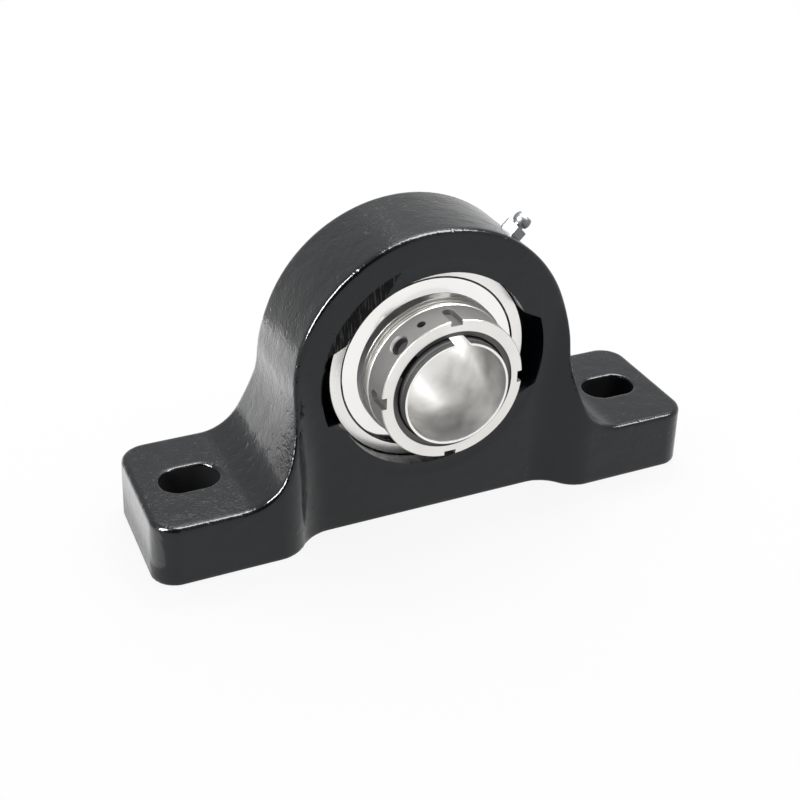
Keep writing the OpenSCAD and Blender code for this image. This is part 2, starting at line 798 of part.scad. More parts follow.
module grease_check_ball() {
    color("#e8e8e8") on_radius(fitting_angle, -fitting_back)
        translate([0, 0, check_ball_s]) sphere(d = check_ball_d);
}

// Coil spring that holds the check ball shut: a six-sided wire carried up a helix
module grease_spring() {
    sides = 6;
    steps = 10 * spring_turns;
    coil_r = (fitting_bore_d - spring_wire_d) / 2 - coil_play;
    wire_r = spring_wire_d / 2;
    rise = spring_top_s - spring_foot_s - spring_wire_d * 2;
    points = [for (i = [0:steps], j = [0:sides - 1])
        let (turn = 36 * i, tilt = 360 * j / sides, r = coil_r + wire_r * cos(tilt))
        [r * cos(turn), r * sin(turn), spring_foot_s + spring_wire_d + rise * i / steps
            + wire_r * sin(tilt)]];
    wall = [for (i = [0:steps - 1], j = [0:sides - 1])
        let (k = (j + 1) % sides)
        [i * sides + j, i * sides + k, (i + 1) * sides + k, (i + 1) * sides + j]];
    foot = [[for (j = [sides - 1:-1:0]) j]];
    top = [[for (j = [0:sides - 1]) steps * sides + j]];
    color("#c0c0c0") on_radius(fitting_angle, -fitting_back)
        polyhedron(points = points, faces = concat(wall, foot, top));
}

housing();
outer_ring();
inner_ring();
bearing_balls();
cage_front_half();
cage_rear_half();
cage_rivets();
front_seal_retainer();
rear_seal_retainer();
front_seal_lip();
rear_seal_lip();
front_flinger();
rear_flinger();
adapter_sleeve();
adapter_nut();
nut_keeper_ring();
nut_retaining_ring();
lock_screw();
lock_pad();
grease_fitting();
grease_check_ball();
grease_spring();
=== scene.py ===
import math

import bmesh
import bpy
import numpy as np
from mathutils import Matrix


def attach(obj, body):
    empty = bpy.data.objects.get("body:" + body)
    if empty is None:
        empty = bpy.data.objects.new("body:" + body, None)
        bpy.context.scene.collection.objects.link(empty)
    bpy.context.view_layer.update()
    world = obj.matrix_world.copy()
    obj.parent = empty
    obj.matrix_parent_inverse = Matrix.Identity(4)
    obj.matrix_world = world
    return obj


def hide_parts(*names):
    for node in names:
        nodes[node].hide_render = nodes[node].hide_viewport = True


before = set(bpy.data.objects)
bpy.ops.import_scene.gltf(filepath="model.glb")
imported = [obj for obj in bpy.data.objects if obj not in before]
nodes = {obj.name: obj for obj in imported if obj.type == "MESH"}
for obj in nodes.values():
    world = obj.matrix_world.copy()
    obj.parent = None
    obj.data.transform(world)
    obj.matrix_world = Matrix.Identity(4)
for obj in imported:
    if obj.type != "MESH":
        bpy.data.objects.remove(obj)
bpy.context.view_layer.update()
scene = bpy.context.scene
scene.view_settings.view_transform = "Standard"

# Camera. It stands on the lock nut's side, to the left of the shaft, and looks down on
# the block from arm's length, where the photograph was taken. The matrix has its right,
# up and backward directions and its place, in metres, as columns.
camera = bpy.data.objects.new("camera", bpy.data.cameras.new("camera"))
camera.data.sensor_width = 36
camera.data.lens = 57.07
camera.data.clip_start = 0.01
camera.matrix_world = Matrix((
    (0.91265, 0.19231, -0.36067, -0.17125),
    (-0.40791, 0.48466, -0.77377, -0.35612),
    (0.02600, 0.85330, 0.52077, 0.27645),
    (0, 0, 0, 1),
))
scene.collection.objects.link(camera)
scene.camera = camera


# Light and floor. A white tent round a plain white table, open and dark where the camera
# stands, with a soft lamp overhead. A box on the left and a long one overhead draw the
# bright lines on the edges, and lit pads on the table behind the block shine in its flank.
class Amount:
    """A shader output that Python's operators treat as a number, one Math node each. A
    comparison gives 1 or 0, and | gives the larger of two masks."""

    def __init__(self, tree, socket):
        self.tree = tree
        self.socket = socket

    def math(self, operation, first, second=0.0):
        return self.tree.add("ShaderNodeMath", {"operation": operation}, {0: first, 1: second})

    def sibling(self, output):
        """Another output of the node that gives this one."""
        return Amount(self.tree, self.socket.node.outputs[output])

    def __add__(self, other):
        return self.math("ADD", self, other)

    def __sub__(self, other):
        return self.math("SUBTRACT", self, other)

    def __rsub__(self, other):
        return self.math("SUBTRACT", other, self)

    def __mul__(self, other):
        return self.math("MULTIPLY", self, other)

    def __pow__(self, other):
        return self.math("POWER", self, other)

    def __lt__(self, other):
        return self.math("LESS_THAN", self, other)

    def __gt__(self, other):
        return self.math("GREATER_THAN", self, other)

    def __or__(self, other):
        return self.math("MAXIMUM", self, other)

    def __abs__(self):
        return self.math("ABSOLUTE", self)

    __radd__ = __add__
    __rmul__ = __mul__


class Tree:
    """The shader nodes of one material, or of the world."""

    def __init__(self, owner):
        owner.use_nodes = True
        self.nodes = owner.node_tree.nodes
        self.links = owner.node_tree.links
        self.nodes.clear()

    def add(self, kind, settings=None, inputs=None, output=0):
        """Adds a node, then its settings, then its sockets, and gives one output."""
        node = self.nodes.new(kind)
        for name, value in (settings or {}).items():
            if name == "stops":
                while len(node.color_ramp.elements) < len(value):
                    node.color_ramp.elements.new(1.0)
                for stop, (place, grey) in zip(node.color_ramp.elements, value):
                    stop.position = place
                    stop.color = (grey, grey, grey, 1)
            else:
                setattr(node, name, value)
        for name, value in (inputs or {}).items():
            if isinstance(value, Amount):
                self.links.new(value.socket, node.inputs[name])
            else:
                node.inputs[name].default_value = value
        if node.outputs:
            return Amount(self, node.outputs[output])
        return node

    def ramp(self, value, *stops):
        """A grey that goes from stop to stop, each (value, grey)."""
        return self.add("ShaderNodeValToRGB", {"stops": stops}, {"Fac": value})

    def mix(self, share, first, second):
        """Fades from the first colour to the second as share goes from 0 to 1."""
        return self.add("ShaderNodeMix", {"data_type": "RGBA"}, {0: share, 6: first, 7: second}, 2)


world = bpy.data.worlds.new("tent")
scene.world = world
tent = Tree(world)
direction = tent.add("ShaderNodeTexCoord", output="Generated")
height = tent.add("ShaderNodeSeparateXYZ", None, {"Vector": direction}, 2)
cloth = tent.ramp(height * 0.5 + 0.5, (0.0, 0.9), (0.5, 0.9), (0.72, 0.85), (0.85, 0.95), (1.0, 0.8))
to_camera = (-0.43, -0.79, 0.44)
toward = tent.add("ShaderNodeVectorMath", {"operation": "DOT_PRODUCT"}, {0: direction, 1: to_camera}, 1)
opening = tent.ramp(toward, (0.0, 1.0), (0.72, 0.9), (0.88, 0.16), (1.0, 0.10))
tent.add("ShaderNodeOutputWorld", None, {
    "Surface": tent.add("ShaderNodeMixShader", None, {
        0: tent.add("ShaderNodeLightPath", output="Is Camera Ray"),
        1: tent.add("ShaderNodeBackground", None, {"Color": cloth * opening, "Strength": 1.0}),
        2: tent.add("ShaderNodeBackground", None, {"Color": (1, 1, 1, 1), "Strength": 1.0}),
    }),
})


def soft_box(name, place, target, width, length, watts, glint=True):
    """A rectangular lamp at a place, turned to face its target. A glint box is seen only
    in glossy surfaces and adds no light to plain ones."""
    lamp = bpy.data.lights.new(name, "AREA")
    lamp.shape = "RECTANGLE"
    lamp.size = width
    lamp.size_y = length
    lamp.energy = watts
    box = bpy.data.objects.new(name, lamp)
    ahead = np.array(target, float) - place
    ahead /= np.linalg.norm(ahead)
    side = np.cross(ahead, (0, 0, 1))
    side /= np.linalg.norm(side)
    up = np.cross(side, ahead)
    box.matrix_world = Matrix([
        (side[i], up[i], -ahead[i], place[i]) for i in range(3)
    ] + [(0, 0, 0, 1)])
    box.visible_diffuse = not glint
    box.visible_camera = False
    scene.collection.objects.link(box)


# The two flat pads face up. Their targets stand a hair off the vertical, which has no
# side of its own.
soft_box("pad_left", (-0.204, 0.070, 0.003), (-0.204, 0.0701, 1), 0.192, 0.20, 0.110)
soft_box("pad_back", (-0.054, 0.119, 0.003), (-0.054, 0.1191, 1), 0.108, 0.102, 0.0325)
soft_box("pad_wall", (-0.190, 0.175, 0.009), (-0.190, -1, 0.009), 0.24, 0.014, 0.025)
soft_box("left_box", (-0.84, -0.22, 0.58), (-0.04, 0, 0.08), 0.28, 0.80, 50.0)
soft_box("long_box", (0.30, -0.22, 0.95), (0.12, 0, 0.05), 0.40, 1.30, 36.0)
soft_box("top_box", (0.30, 0.45, 0.95), (0, 0, 0.05), 0.9, 0.5, 4.0, glint=False)

# The table's top lies a hair below the feet. To the camera, in mirrors and through glass
# it glows for the most part, so it stays an even white.
floor_half, floor_top = 4, -0.0002
floor_mesh = bpy.data.meshes.new("table")
floor_mesh.from_pydata(
    [(x * floor_half, y * floor_half, floor_top) for x, y in ((-1, -1), (1, -1), (1, 1), (-1, 1))],
    [], [(0, 1, 2, 3)],
)
floor = bpy.data.objects.new("table", floor_mesh)
scene.collection.objects.link(floor)
table_white = bpy.data.materials.new("table_white")
table = Tree(table_white)
camera_ray = table.add("ShaderNodeLightPath", output="Is Camera Ray")
seen = camera_ray + camera_ray.sibling("Is Glossy Ray") + camera_ray.sibling("Is Transmission Ray")
glow = 0.88
table.add("ShaderNodeOutputMaterial", None, {
    "Surface": table.add("ShaderNodeMixShader", None, {
        0: seen * glow,
        1: table.add("ShaderNodeBsdfPrincipled", None, {
            "Base Color": (1, 1, 1, 1), "Roughness": 1.0, "Specular IOR Level": 0.0,
        }),
        2: table.add("ShaderNodeEmission", None, {"Color": (1, 1, 1, 1), "Strength": 1.0}),
    }),
})
floor_mesh.materials.append(table_white)


# Housing. One grey iron sand casting under black enamel: arch, hollow flanks, thick
# feet with two cored bolt slots. The seat, its loading slots and the flat for the
# grease fitting are machined into the casting.

# Sizes are in mm. X is measured to the side from the shaft, Y along the shaft from the
# middle of the seat, and Z up from the underside; R is a radius.
SHAFT = 57.15
ARCH_R = 52.63
FLANK_X, FLANK_R = 107.63, 55
FILLET_X, FILLET_Z, FILLET_R = 73.62, 40.2, 17
FOOT_TOP = 23.2
BODY_HALF, FOOT_HALF = 17.8, 27.5
HOLLOW_X, HOLLOW_Y, HOLLOW_R = 39.84, 32.8, 15
SWELL_X, SWELL_Y, SWELL_R = 61.03, 14.5, 13
BLEND_X = 51.19
LEAN_Z, LEAN_R = 25, 195.19
END_X, END_DRAFT, CORNER_R = 105, 2.7, 9.4
BOLT_X, BOLT_REACH, BOLT_R = 84.7, 3.3, 7.15
EDGE_R, BASE_EDGE_R, BOLT_EDGE_R = 1.7, 0.6, 1.1


def rounded_and(first, second, radius):
    """The larger of two distances, which keeps to a circle of the radius near their edge."""
    inner = np.minimum(np.maximum(first, second), -radius)
    return inner + np.hypot(np.maximum(first + radius, 0), np.maximum(second + radius, 0))


def front_outline(x, z):
    """Distance from the front outline in mm: arch circle above the shaft, and below it a
    hollow circle, a tighter fillet circle inside it, and the flat top of the foot."""
    lean = np.array([FILLET_X - FLANK_X, FILLET_Z - SHAFT]) / (FLANK_R - FILLET_R)
    arch = np.hypot(x, z - SHAFT) - ARCH_R
    flank = FLANK_R - np.hypot(x - FLANK_X, z - SHAFT)
    fillet = FILLET_R - np.hypot(x - FILLET_X, z - FILLET_Z)
    below = lean[0] * (z - FILLET_Z) - lean[1] * (x - FILLET_X) > 0
    low = np.where(x > FILLET_X, z - FOOT_TOP, np.where(below, fillet, flank))
    return np.where(z > SHAFT, arch, low)


def side_faces(x, y, z):
    """Distance from the front and back faces in mm: flat body, hollow then round curve
    out to the thick foot, all moved outwards along a large circle as z rises."""
    reach = np.where(z > LEAN_Z, LEAN_R - np.hypot(x - LEAN_R, z - LEAN_Z), x)
    hollow = HOLLOW_R - np.hypot(reach - HOLLOW_X, y - HOLLOW_Y)
    swell = np.hypot(reach - SWELL_X, np.maximum(y - SWELL_Y, 0)) - SWELL_R
    outer = np.where(reach < SWELL_X, swell, y - FOOT_HALF)
    return np.where(reach < HOLLOW_X, y - BODY_HALF, np.where(reach < BLEND_X, hollow, outer))


def casting(x, y, z):
    """Distance in mm from the skin of the casting before machining: the outline and the
    side faces meet in a rounded edge, ends with draft and round corners close it, and
    two slots with round ends go through the feet."""
    x = np.abs(x)
    y = np.abs(y)
    past = x + z * math.tan(math.radians(END_DRAFT)) - (END_X - CORNER_R)
    wide = y - (FOOT_HALF - CORNER_R)
    ends = np.minimum(np.maximum(past, wide), 0) - CORNER_R
    ends += np.hypot(np.maximum(past, 0), np.maximum(wide, 0))
    skin = rounded_and(front_outline(x, z), np.maximum(side_faces(x, y, z), ends), EDGE_R)
    skin = rounded_and(skin, -z, BASE_EDGE_R)
    slot = np.hypot(np.maximum(np.abs(x - BOLT_X) - BOLT_REACH, 0), y) - BOLT_R
    return rounded_and(skin, -slot, BOLT_EDGE_R)


def solid(name, points, faces):
    """An object from points in mm and faces, linked and smooth."""
    mesh = bpy.data.meshes.new(name)
    if isinstance(faces, np.ndarray):
        faces = faces.tolist()
    mesh.from_pydata((np.asarray(points) * 0.001).tolist(), [], faces)
    mesh.shade_smooth()
    piece = bpy.data.objects.new(name, mesh)
    scene.collection.objects.link(piece)
    return piece


def wrapped(name, distance, low, high, step):
    """Surface nets: a vertex in each grid cell that the surface crosses, at the mean of
    its crossings and then drawn down the slope onto the surface, and a quad round each
    grid edge that it crosses."""
    axes = [np.arange(a, b + step, step) for a, b in zip(low, high)]
    field = distance(*np.meshgrid(*axes, indexing="ij"))
    crossings, rings = [], []
    for a in range(3):
        start, stop = np.delete(field, -1, a), np.delete(field, 0, a)
        edge = np.argwhere((start < 0) != (stop < 0))
        start, stop = start[tuple(edge.T)], stop[tuple(edge.T)]
        point = edge.astype(float)
        point[:, a] += start / (start - stop)
        b, c = np.eye(3, dtype=int)[[(a + 1) % 3, (a + 2) % 3]]
        ring = np.stack([edge - b - c, edge - c, edge, edge - b], 1)
        rings.append(np.where((start < 0)[:, None, None], ring, ring[:, ::-1]))
        crossings.append(point)
    ring = np.concatenate(rings)
    cell = np.ravel_multi_index(ring.reshape(-1, 3).T, field.shape)
    number = np.unique(cell, return_inverse=True)[1].reshape(-1)
    point = np.repeat(np.concatenate(crossings), 4, 0)
    share = np.bincount(number)
    points = np.stack([np.bincount(number, point[:, k]) / share for k in range(3)], 1)
    points = points * step + [axis[0] for axis in axes]
    nudge, flattest = 0.02, 0.2
    for _ in range(4):
        here = distance(*points.T)
        slope = np.stack([
            distance(*(points + shift).T) - distance(*(points - shift).T)
            for shift in np.eye(3) * nudge
        ], 1) / (2 * nudge)
        points -= slope * (here / np.maximum((slope ** 2).sum(1), flattest))[:, None]
    return solid(name, points, number.reshape(-1, 4))


def along_shaft(radius, forward, angle):
    """Points at a radius from the shaft, a place forward of the seat's middle, and an
    angle from the top towards +X."""
    return np.stack([radius * np.sin(angle), -forward + 0 * angle,
                     SHAFT + radius * np.cos(angle)], -1)


def turned(name, profile, carry=along_shaft, turns=192):
    """A closed profile (radius, place along the axis) carried round an axis. Where the
    profile touches the axis, its points meet in one pole."""
    profile = np.array(profile, float)
    after = np.roll(profile, -1, 0)
    if (profile[:, 0] * after[:, 1] - after[:, 0] * profile[:, 1]).sum() < 0:
        profile = profile[::-1]
    angle = np.arange(turns) * 2 * np.pi / turns
    points = carry(profile[None, :, 0], profile[None, :, 1], angle[:, None]).reshape(-1, 3)
    n = len(profile)
    i = np.arange(turns)[:, None] * n
    j = (np.arange(turns)[:, None] + 1) % turns * n
    k = np.arange(n)[None]
    m = (k + 1) % n
    faces = np.stack([i + k, i + m, j + m, j + k], -1).reshape(-1, 4)
    on_axis = profile[:, 0] < 1e-6
    lone = on_axis[(faces % n)].all(1)
    piece = solid(name, points, faces[~lone])
    if on_axis.any():
        welded = bmesh.new()
        welded.from_mesh(piece.data)
        bmesh.ops.remove_doubles(welded, verts=welded.verts, dist=1e-7)
        welded.to_mesh(piece.data)
        welded.free()
        piece.data.shade_smooth()
    return piece


def fitting_axis(radius, height, angle):
    """Points round the grease fitting's axis, which leans 45 degrees to the right and
    stands a little behind the middle of the seat."""
    behind, lean = 3.2, math.sqrt(0.5)
    side, back = radius * np.cos(angle), -radius * np.sin(angle)
    return np.stack([(height + side) * lean, behind + back + 0 * height,
                     SHAFT + (height - side) * lean], -1)


def slab(name, outline, back, front):
    """A flat outline (x, height above the shaft), counter-clockwise seen from the front,
    carried along the shaft from back to front."""
    outline = np.array(outline, float)
    n = len(outline)
    points = [
        np.stack([outline[:, 0], np.full(n, -f), SHAFT + outline[:, 1]], 1) for f in (back, front)
    ]
    k = np.arange(n)
    m = (k + 1) % n
    walls = np.stack([k, m, m + n, k + n], 1).tolist()
    faces = [*walls, k[::-1].tolist(), (k + n).tolist()]
    return solid(name, np.concatenate(points), faces)


def cut(piece, tools, crease=55):
    """Takes the tools out of the piece, removes them, and keeps edges sharp where the
    faces turn by more than the crease in degrees."""
    box = bpy.data.collections.new("tools")
    for tool in tools:
        box.objects.link(tool)
    change = piece.modifiers.new("cut", "BOOLEAN")
    change.operation = "DIFFERENCE"
    change.operand_type = "COLLECTION"
    change.collection = box
    change.solver = "MANIFOLD"
    bpy.context.view_layer.update()
    shaped = piece.evaluated_get(bpy.context.evaluated_depsgraph_get())
    mesh = bpy.data.meshes.new_from_object(shaped)
    piece.modifiers.clear()
    piece.data = mesh
    mesh.shade_smooth()
    mesh.set_sharp_from_angle(angle=math.radians(crease))
    for tool in tools:
        bpy.data.objects.remove(tool)
    bpy.data.collections.remove(box)


def noise(tree, where, scale, detail=2.0):
    """Soft noise from 0 to 1, in patches about 1/scale metres across."""
    return tree.add("ShaderNodeTexNoise", None, {"Vector": where, "Scale": scale, "Detail": detail})


def from_shaft(tree, place):
    """A point's x, y, height above the shaft and distance from the shaft, in metres."""
    x = tree.add("ShaderNodeSeparateXYZ", None, {"Vector": place})
    rise = x.sibling(2) - SHAFT / 1000
    return x, x.sibling(1), rise, (x * x + rise * rise) ** 0.5


# The ball of the seat, its round opening, and the ring that is machined round it.
SEAT_R, OPENING_R, RECESS_R = 38.63, 37.23, 42.33

enamel = bpy.data.materials.new("black_enamel")
paint = Tree(enamel)
spot = paint.add("ShaderNodeTexCoord", output="Object")
x, y, rise, radius = from_shaft(paint, spot)
cast = paint.add("ShaderNodeAttribute", {"attribute_name": "as_cast"}, None, 2)
sand = noise(paint, spot, 2600)
peel = noise(paint, spot, 1050)
wave = noise(paint, spot, 130)
patch = noise(paint, spot, 45)
pit = paint.ramp(noise(paint, spot, 420, 0.0), (0.0, 0.0), (0.22, 0.0), (0.30, 1.0))

# The heights of the relief, in metres. Sand and peel keep a small share on flat faces.
sand_high, peel_high, wave_high, pit_deep, flat_share = 0.00004, 0.00011, 0.0003, 0.00006, 0.14
grain = (sand * sand_high + peel * peel_high) * (cast * (1 - flat_share) + flat_share)
relief = grain + wave * wave_high + pit * pit_deep

# The machined ring round the opening is brushed black in slanted streaks, beyond a line
# that crosses it at the upper left. Inside the bolt slots painted shade makes the enamel dull and
# black.
brush = paint.add("ShaderNodeMapping", None, {
    "Vector": spot, "Rotation": (0, math.radians(-32), 0), "Scale": (1500, 1, 160),
})
streak = paint.ramp(noise(paint, brush, 1.0, 3.0), (0.52, 1.0), (0.60, 0.0))
line_x, line_z, line_from_shaft = 0.85, 0.53, 0.0335
ring_past, ring_front = 0.4, 0.0172
upper_left = x * line_x - rise * line_z < -line_from_shaft
ring = (radius < (RECESS_R + ring_past) / 1000) * (y < -ring_front)
# Painted shade: inside the bolt slots the enamel gives way to a dull black.
half_length, half_width, slot_top = 0.0108, 0.0077, 0.0222
slot_shade = abs(abs(x) - BOLT_X / 1000) < half_length
slot_shade = slot_shade * (abs(y) < half_width) * (rise < slot_top - SHAFT / 1000)
paint.add("ShaderNodeOutputMaterial", None, {
    "Surface": paint.add("ShaderNodeMixShader", None, {
        0: slot_shade | ring * upper_left * streak,
        1: paint.add("ShaderNodeBsdfPrincipled", None, {
            "Base Color": paint.mix(patch, (0.0004, 0.0016, 0.0034, 1), (0.0022, 0.0048, 0.0080, 1)),
            "IOR": 1.43,
            "Roughness": 0.09 + patch * 0.06 + sand * 0.06,
            "Normal": paint.add("ShaderNodeBump", None, {"Height": relief, "Distance": 1.0}),
        }),
        2: paint.add("ShaderNodeBsdfPrincipled", None, {
            "Base Color": (0.002, 0.002, 0.002, 1), "Roughness": 0.9, "Specular IOR Level": 0.1,
        }),
    }),
})

bare_iron = bpy.data.materials.new("machined_iron")
iron = Tree(bare_iron)
smear = noise(iron, iron.add("ShaderNodeTexCoord", output="Object"), 260, 3.0)
iron.add("ShaderNodeOutputMaterial", None, {
    "Surface": iron.add("ShaderNodeBsdfPrincipled", None, {
        "Base Color": iron.mix(smear, (0.30, 0.30, 0.29, 1), (0.52, 0.51, 0.49, 1)),
        "Metallic": 1.0,
        "Roughness": 0.26 + smear * 0.16,
    }),
})

# The seat is a hollow ball with a grease groove behind its middle, open to both sides.
groove_back, groove_front, groove_r = -7.7, -1.7, 39.83
clear_of_part = 40
swing = np.linspace(-1, 1, 41) * math.acos(OPENING_R / SEAT_R)
ball = np.stack([SEAT_R * np.cos(swing), SEAT_R * np.sin(swing)], 1)
seat_tool = turned("seat_tool", np.concatenate([
    [(0, -clear_of_part), (OPENING_R, -clear_of_part)],
    ball[ball[:, 1] < groove_back],
    [(math.sqrt(SEAT_R ** 2 - groove_back ** 2), groove_back), (groove_r, groove_back),
     (groove_r, groove_front), (math.sqrt(SEAT_R ** 2 - groove_front ** 2), groove_front)],
    ball[ball[:, 1] > groove_front],
    [(OPENING_R, clear_of_part), (0, clear_of_part)],
]))

# Both faces are turned down round the opening by a hair, and the cut runs out in a slope.
recess_floor, recess_rim, recess_past = 17.62, 18.0, 20
floor_r, rim_r = RECESS_R - 0.5, RECESS_R + 1.0
recess_tools = [
    turned("recess_tool", [
        (0, f * recess_floor), (floor_r, f * recess_floor), (rim_r, f * recess_rim),
        (rim_r, f * recess_past), (0, f * recess_past),
    ])
    for f in (-1, 1)
]

# Two slots in the front, across the seat, let the outer ring in edge on. Their walls
# slant by 25 degrees and end on a circle round the shaft.
slant = math.tan(math.radians(25))
slot_half, slot_end_r, slot_floor = 15.6, SEAT_R + 3.6, -1
corner = math.asin((slot_half - slant * (slot_end_r - OPENING_R)) / slot_end_r)
arc = np.linspace(-corner, corner, 17)
start = OPENING_R / 2
wide = slot_half + slant * start
right_slot = np.concatenate([
    [(start, wide), (start, -wide)],
    np.stack([slot_end_r * np.cos(arc), slot_end_r * np.sin(arc)], 1),
])
left_slot = right_slot[::-1] * (-1, 1)
slot_tools = [
    slab("slot_tool", outline, slot_floor, clear_of_part) for outline in (left_slot, right_slot)
]

# The flat for the grease fitting, its threaded hole, and the drilling to the seat.
drill_r, thread_r, flat_r = 1.45, 3.15, 6.3
drill_from, thread_from, flat_from, flat_to = 20, 44.73, 52.23, 75
spot_tool = turned("spot_tool", [
    (0, drill_from), (drill_r, drill_from), (drill_r, thread_from), (thread_r, thread_from),
    (thread_r, flat_from), (flat_r, flat_from), (flat_r, flat_to), (0, flat_to),
], fitting_axis, 64)

for tool in (seat_tool, spot_tool):
    tool.data.materials.append(bare_iron)
for tool in (*slot_tools, *recess_tools):
    tool.data.materials.append(enamel)
around_low, around_high, grid_step = (-107, -30, -2), (107, 30, 112), 0.8
block = wrapped("cast_housing", casting, around_low, around_high, grid_step)
block.data.materials.append(enamel)
cut(block, [seat_tool, *recess_tools, *slot_tools, spot_tool])

# Sand leaves its relief on the top, the flanks and the ends, and hardly any on the flat
# front and back, so it fades out as the skin turns to face along the shaft.
facing = np.zeros(len(block.data.vertices) * 3)
block.data.vertices.foreach_get("normal", facing)
fade_start, fade_slope = 1.25, 1.4
as_cast = np.clip(fade_start - fade_slope * np.abs(facing[1::3]), 0, 1)
block.data.attributes.new("as_cast", "FLOAT", "POINT").data.foreach_set("value", as_cast)
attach(block, "housing_unit")
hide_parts("housing")


# Outer ring. Bearing steel, turned, hardened and ground. Its outside is a ball face that
# lets it swing in the housing's seat, and it goes in through the two loading slots.
def turned_steel(name, dark, light, roughness, marks, shadow=None):
    """Steel with fine marks that run round the shaft and soft smears of handling. The
    shadow, if there is one, is a mask of painted shade, under which the metal turns black and dull."""
    steel = bpy.data.materials.new(name)
    tree = Tree(steel)
    place = tree.add("ShaderNodeTexCoord", output="Object")
    x, y, rise, radius = from_shaft(tree, place)
    ring = tree.add("ShaderNodeCombineXYZ", None, {0: radius, 1: y})
    fine = noise(tree, ring, 9000, 3.0)
    broad = noise(tree, ring, 1400)
    smear = noise(tree, place, 110, 3.0)
    colour = tree.mix(smear, (*dark, 1), (*light, 1))
    rough = roughness + fine * 0.06 + smear * 0.08
    metal = 1.0
    if shadow:
        # Painted shade: where the mask is 1 the metal is black and dull.
        painted_shade = shadow(tree, x, y, rise, radius)
        shade_black = (0.012, 0.012, 0.012, 1)
        colour = tree.mix(painted_shade, colour, shade_black)
        rough = rough + painted_shade * 0.3
        metal = 1 - painted_shade
    tree.add("ShaderNodeOutputMaterial", None, {
        "Surface": tree.add("ShaderNodeBsdfPrincipled", None, {
            "Base Color": colour, "Metallic": metal, "Roughness": rough,
            "Normal": tree.add("ShaderNodeBump", None, {
                "Height": fine * marks + broad * marks * 2, "Distance": 1.0,
            }),
        }),
    })
    return steel


def dress(material, *names):
    """Puts the material on the CAD's own pieces, whose shapes stay as they are."""
    for name in names:
        nodes[name].data.materials.clear()
        nodes[name].data.materials.append(material)


ground = turned_steel("ground_steel", (0.80, 0.79, 0.77), (0.88, 0.87, 0.85), 0.20, 0.000001)
dress(ground, "outer_ring")

# Inner ring. Bearing steel, turned and ground, wider than the outer ring. Its bore is
# tapered to grip the sleeve, and a spigot in front carries the nut.
collar = turned_steel("collar_steel", (0.50, 0.49, 0.47), (0.66, 0.65, 0.62), 0.26, 0.000002)
dress(collar, "inner_ring")

# Balls and cage. Polished bearing steel balls in a cage of two pressed steel halves,
# which rivets hold together between the balls.
bright = turned_steel("bright_steel", (0.86, 0.85, 0.83), (0.92, 0.91, 0.89), 0.02, 0.0)
dress(bright, "bearing_balls")
dress(collar, "cage_front_half", "cage_rear_half", "cage_rivets")

# Seals. On each side a ring pressed from sheet steel sits in the outer ring and holds a
# rubber lip that runs on the inner ring.
black_rubber = bpy.data.materials.new("black_rubber")
rubber = Tree(black_rubber)
bloom = noise(rubber, rubber.add("ShaderNodeTexCoord", output="Object"), 500, 3.0)
rubber.add("ShaderNodeOutputMaterial", None, {
    "Surface": rubber.add("ShaderNodeBsdfPrincipled", None, {
        "Base Color": rubber.mix(bloom, (0.010, 0.010, 0.010, 1), (0.025, 0.025, 0.025, 1)),
        "Roughness": 0.5 + bloom * 0.25,
    }),
})
grey_steel = turned_steel("grey_steel", (0.07, 0.07, 0.068), (0.13, 0.13, 0.125), 0.30, 0.000001)
dress(grey_steel, "front_seal_retainer", "rear_seal_retainer")
dress(black_rubber, "front_seal_lip", "rear_seal_lip")

# Flingers. Two rings pressed from bright sheet steel and pushed onto the inner ring, one
# on each side. Each one has a short hub, darkened with painted shade, and a slightly
# dished disc. F is a distance outwards along the shaft from the middle of the seat.
BORE_R, HUB_R, DISC_R = 26.44, 27.34, 32.38
BACK_F, BORE_BACK_F, DISC_F, COVE_F, HUB_F = 10.1, 11.3, 11.0, 12.3, 15.8
DISH_FROM, DISH_TO, DISH_SLOPE, DISH_BEND = 0.3, 5.0, 0.1835, 0.0099
DISC_EDGE, HUB_EDGE = 0.1, 0.15


def hub_painted_shade(tree, x, y, rise, radius):
    """Painted shade on the hub, inside the disc."""
    return (radius < (HUB_R + 0.03) / 1000) * 0.8


flinger_steel = turned_steel(
    "flinger_steel", (0.88, 0.87, 0.85), (0.94, 0.93, 0.91), 0.0, 0.0, hub_painted_shade
)

# Inwards from the rim the disc's face rises along a parabola, up to a cove at the hub.
inward = np.linspace(DISH_FROM, DISH_TO, 12)
dish = np.stack([DISC_R - inward, DISC_F + DISH_SLOPE * inward + DISH_BEND * inward ** 2], 1)
flinger_profile = np.concatenate([
    [(BORE_R, BORE_BACK_F + DISC_EDGE), (BORE_R + DISC_EDGE, BORE_BACK_F),
     (DISC_R - DISC_EDGE, BACK_F), (DISC_R, BACK_F + DISC_EDGE),
     (DISC_R, DISC_F - 0.05), (DISC_R - 0.08, DISC_F + 0.01)],
    dish,
    [(HUB_R + 0.02, COVE_F), (HUB_R, COVE_F + HUB_EDGE), (HUB_R, HUB_F - 0.2),
     (HUB_R - HUB_EDGE, HUB_F), (BORE_R + HUB_EDGE, HUB_F), (BORE_R, HUB_F - HUB_EDGE)],
])
for side, name in ((1, "front_flinger"), (-1, "rear_flinger")):
    disc = turned(name + "_disc", flinger_profile * (1, side))
    disc.data.set_sharp_from_angle(angle=math.radians(15))
    disc.data.materials.append(flinger_steel)
    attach(disc, "inner_unit")
    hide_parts(name)

# Adapter sleeve. Mild steel, turned, tapered outside and slit along its length so that
# it closes on the shaft. The nut runs on the thread round its front end.
WALL_R, THREAD_R = 18.4, 19.2


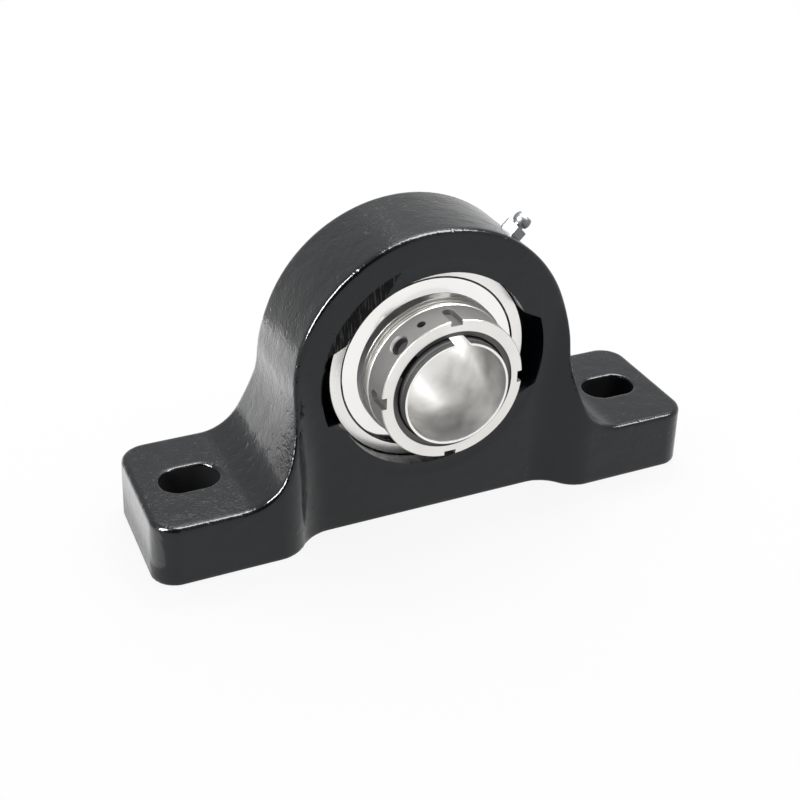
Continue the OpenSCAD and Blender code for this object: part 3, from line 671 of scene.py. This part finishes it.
def sleeve_painted_shade(tree, x, y, rise, radius):
    """Painted shade, cloudy in the bore, where it deepens from 0 at the back end to the front,
    and thick on the thread outside, in the gap between nut and sleeve."""
    place = tree.add("ShaderNodeCombineXYZ", None, {0: x, 1: y, 2: rise})
    cloud = (noise(tree, place, 60, 3.0) - 0.5) * 1.1
    back_end, per_metre = 0.019, 18.9
    bore_shade = tree.ramp((back_end - y) * per_metre + cloud, (0.0, 0.0), (0.35, 0.05), (1.0, 0.72))
    return bore_shade * (radius < WALL_R / 1000) | (radius > THREAD_R / 1000)


bore_steel = turned_steel(
    "bore_steel", (0.80, 0.785, 0.755), (0.94, 0.925, 0.90), 0.25, 0.000003, sleeve_painted_shade
)
dress(bore_steel, "adapter_sleeve")

# Lock nut. Turned steel, screwed onto the sleeve against the inner ring. Four notches in
# its front edge and two round holes take a spanner, and a small hole takes the lock screw.
NUT_R, NUT_FACE_F, COUNTERBORE_R = 26.33, 31.0, 22.15
PIN_HOLE_F, PIN_HOLE_R = 26.3, 3.1
SCREW_HOLE_F, SCREW_HOLE_R, SCREW_HOLE_ANGLE = 25.45, 1.6, -23
NOTCH_F, NOTCH_HALF, NOTCH_R, NOTCH_DEEP = 26.7, 4.3, 25.2, 1.0


def nut_painted_shade(tree, x, y, rise, radius):
    """Painted shade: 1 inside the pin holes, the lock screw's hole and the bore, most of the way
    to 1 in the notches, and a little less on the outside. Each mask goes a little past the
    edge of its hole."""
    past, skin, below = 0.2, 0.13, 0.23
    in_notches, on_outside = 0.8, 0.7
    across = (x + rise) * math.sqrt(0.5)
    along = y + PIN_HOLE_F / 1000
    pin_hole = (across * across + along * along) ** 0.5 < (PIN_HOLE_R + past) / 1000
    angle = math.radians(SCREW_HOLE_ANGLE)
    aside = x * math.cos(angle) - rise * math.sin(angle)
    back = y + SCREW_HOLE_F / 1000
    screw_hole = (aside * aside + back * back) ** 0.5 < (SCREW_HOLE_R + past) / 1000
    screw_hole = screw_hole * (rise > 0.0)
    below_skin = radius < (NUT_R - below) / 1000
    notch = abs(y + NOTCH_F / 1000) < NOTCH_HALF / 1000
    notch = notch * (abs(radius - NOTCH_R / 1000) < NOTCH_DEEP / 1000) * in_notches
    outside = (radius > (NUT_R - skin) / 1000) * (y > (past - NUT_FACE_F) / 1000) * on_outside
    bore = radius < (COUNTERBORE_R - 0.05) / 1000
    return (pin_hole | screw_hole) * below_skin | bore | notch | outside


nut_steel = turned_steel("nut_steel", (0.72, 0.70, 0.67), (0.84, 0.83, 0.80), 0.26, 0.000001, nut_painted_shade)
dress(nut_steel, "adapter_nut")

# The nut's split rings. Spring steel. One lies in a groove between nut and inner ring and
# keeps the nut on, and one is snapped into the front of the nut.
dress(grey_steel, "nut_keeper_ring", "nut_retaining_ring")

# Lock screw and pad. A black steel set screw with a hexagon socket in the rim of the nut,
# and the brass pad that it presses inwards.
black_steel = turned_steel("black_steel", (0.015, 0.015, 0.016), (0.035, 0.035, 0.037), 0.35, 0.0)
brass = turned_steel("soft_brass", (0.55, 0.40, 0.15), (0.70, 0.53, 0.24), 0.25, 0.000001)
dress(black_steel, "lock_screw")
dress(brass, "lock_pad")

# Grease fitting. Zinc-plated steel, screwed into the flat on the arch. A spring inside
# keeps a ball pressed into its mouth.
zinc = turned_steel("bright_zinc", (0.10, 0.103, 0.106), (0.24, 0.245, 0.25), 0.34, 0.0)
dress(zinc, "grease_fitting")
dress(bright, "grease_check_ball")
dress(collar, "grease_spring")
